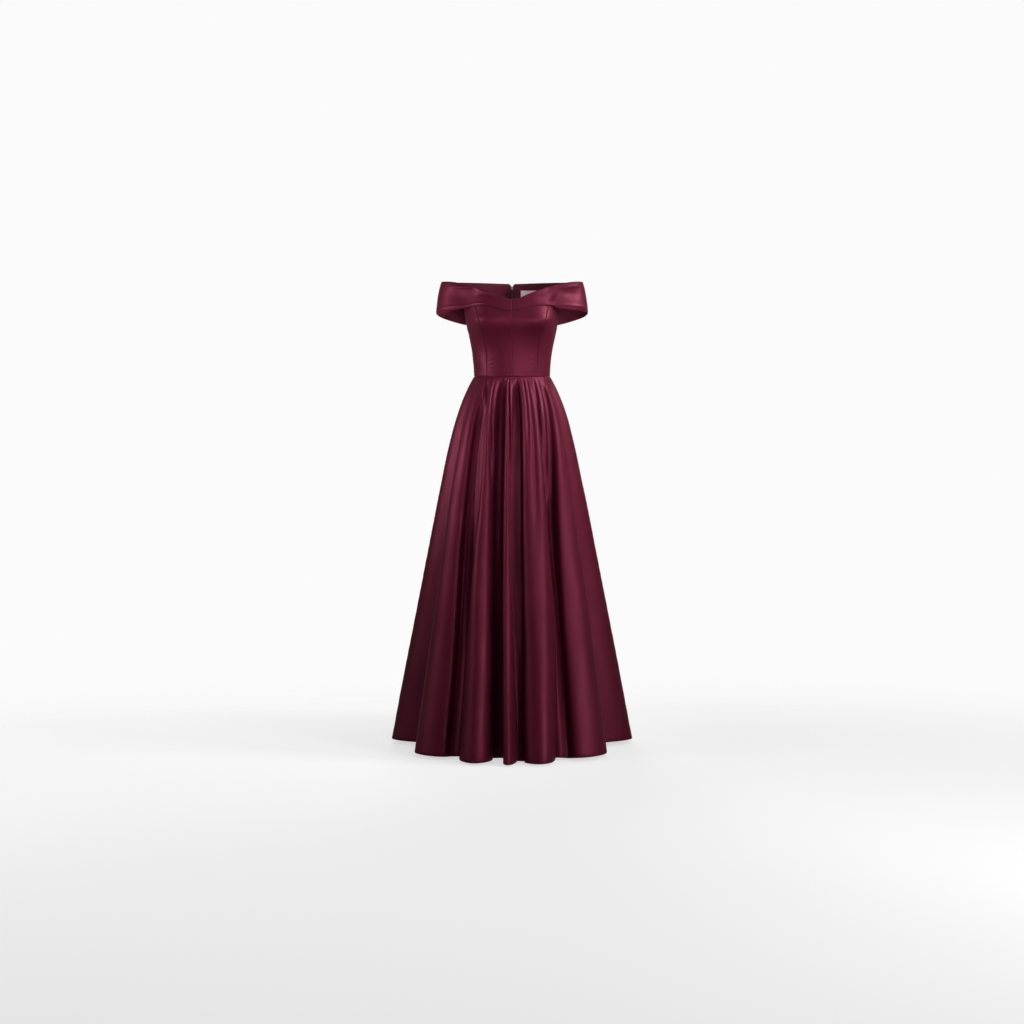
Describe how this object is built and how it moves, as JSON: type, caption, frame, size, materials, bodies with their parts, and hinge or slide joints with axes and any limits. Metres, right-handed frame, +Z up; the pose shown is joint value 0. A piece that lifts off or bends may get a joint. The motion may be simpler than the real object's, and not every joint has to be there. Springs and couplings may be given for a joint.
{
  "type": "off-shoulder gown",
  "caption": "Floor-length off-shoulder satin gown with a fitted panelled bodice, a folded band round both arms, a softly folded A-line skirt and a back zip.",
  "frame": {"origin": "centre of the waist, where the wearer holds the gown up", "axes": "+Z up, -Y towards the wearer's front, +X towards the wearer's left"},
  "size_m": [0.7586, 0.8016, 1.4366],
  "materials": {
    "satin": "burgundy satin with a soft sheen outside and a matte darker back",
    "zip_tape": "woven dark burgundy zip tape",
    "zip_metal": "small grey metal slider and pull",
    "label": "pale woven ribbon, blank"
  },
  "bodies": {
    "gown": {"bodice_centre_front_left": "satin", "bodice_side_front_left": "satin", "bodice_side_back_left": "satin", "bodice_centre_back_left": "satin", "bodice_centre_front_right": "satin", "bodice_side_front_right": "satin", "bodice_side_back_right": "satin", "bodice_centre_back_right": "satin", "band_left": "satin", "band_right": "satin", "skirt_front": "satin", "skirt_side_front_left": "satin", "skirt_side_front_right": "satin", "skirt_side_back_left": "satin", "skirt_side_back_right": "satin", "skirt_back_left": "satin", "skirt_back_right": "satin", "zip_tape_left": "zip_tape", "zip_tape_right": "zip_tape", "neck_label": "label", "zip_slider": "zip_metal"},
    "pull": {"zip_pull": "zip_metal"}
  },
  "joints": [
    {"name": "pull_swing", "type": "hinge", "parent": "gown", "child": "pull", "pos_m": [0, 0.1095, 0.2775], "axis": [1, 0, 0], "range_deg": [0, 170]}
  ]
}
